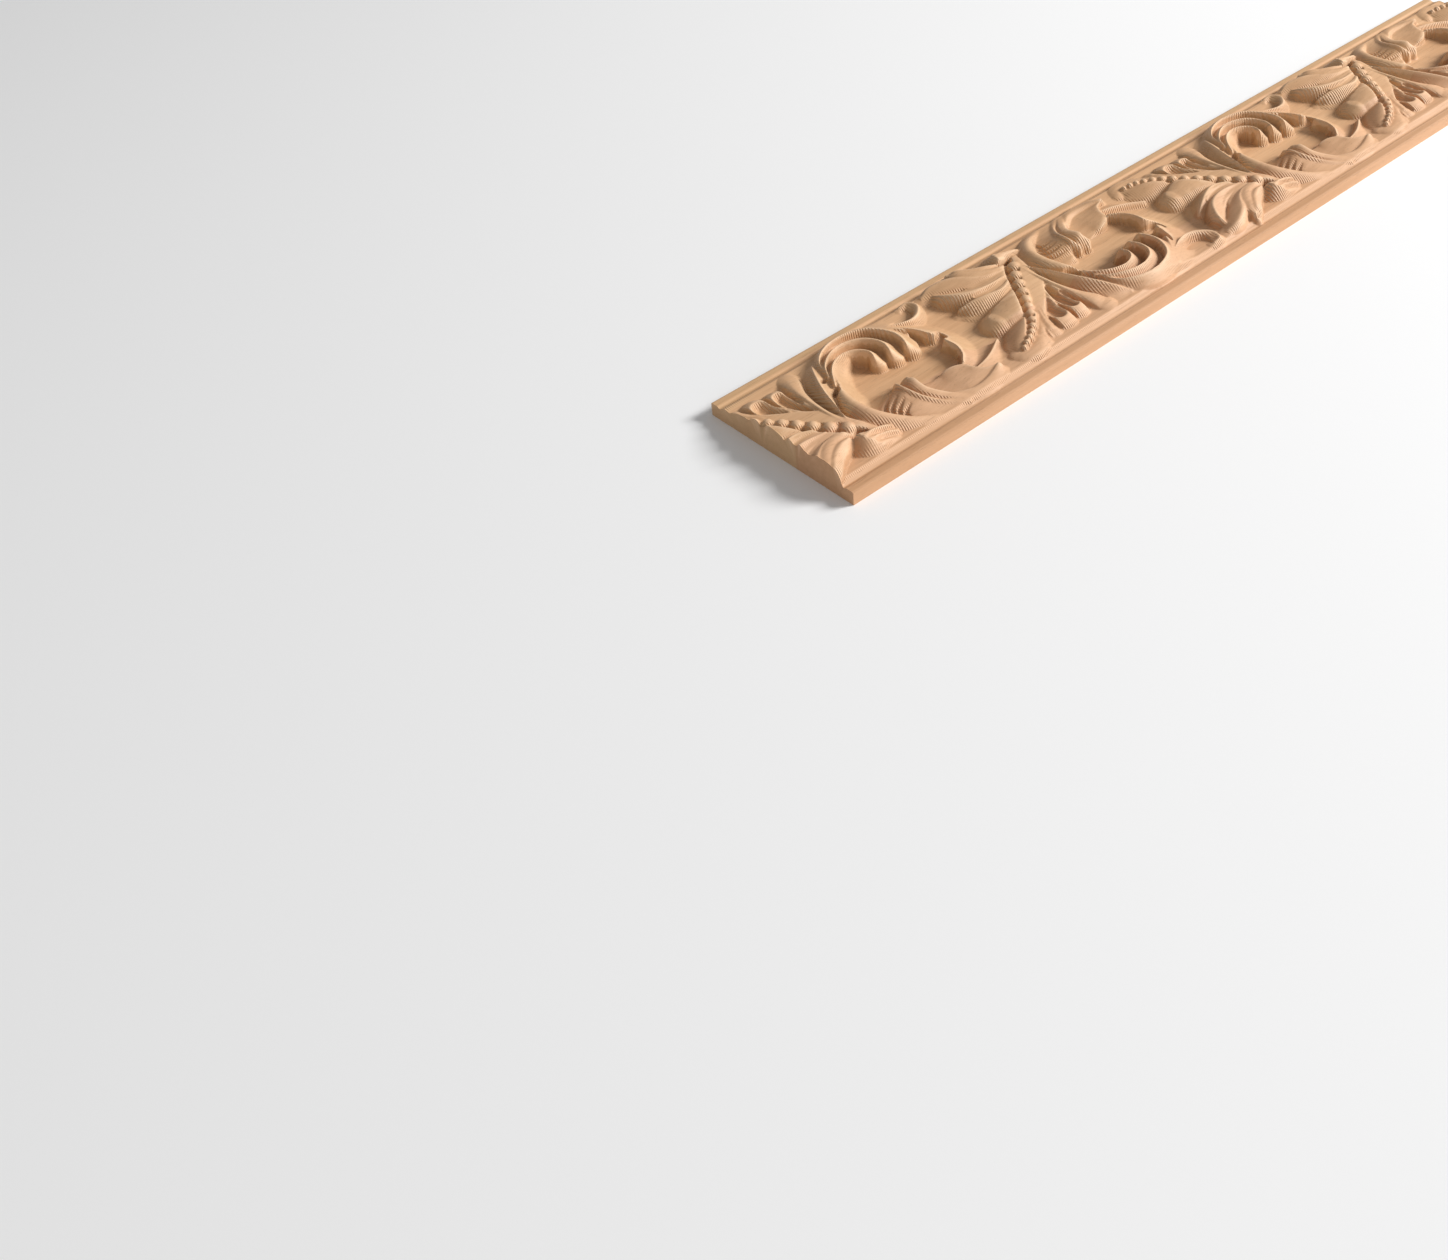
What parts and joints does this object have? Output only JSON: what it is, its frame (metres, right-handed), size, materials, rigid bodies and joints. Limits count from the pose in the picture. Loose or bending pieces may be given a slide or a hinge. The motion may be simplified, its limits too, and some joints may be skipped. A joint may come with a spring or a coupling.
{
  "type": "carved wood moulding",
  "caption": "Length of flat-backed carved wood moulding: a running acanthus scroll with a row of beads, between two plain lips.",
  "frame": {"origin": "centre of the flat back face", "axes": "+X along the moulding, the way the scroll grows; +Y across its width; +Z out of the back through the carving"},
  "size_m": [0.56, 0.09, 0.0143],
  "materials": {
    "carved_wood": "pale reddish hardwood, carved and sanded, unfinished and matt, with fine tool ridges on the steep slopes"
  },
  "bodies": {
    "root": {"carved_trim": "carved_wood"}
  },
  "joints": []
}
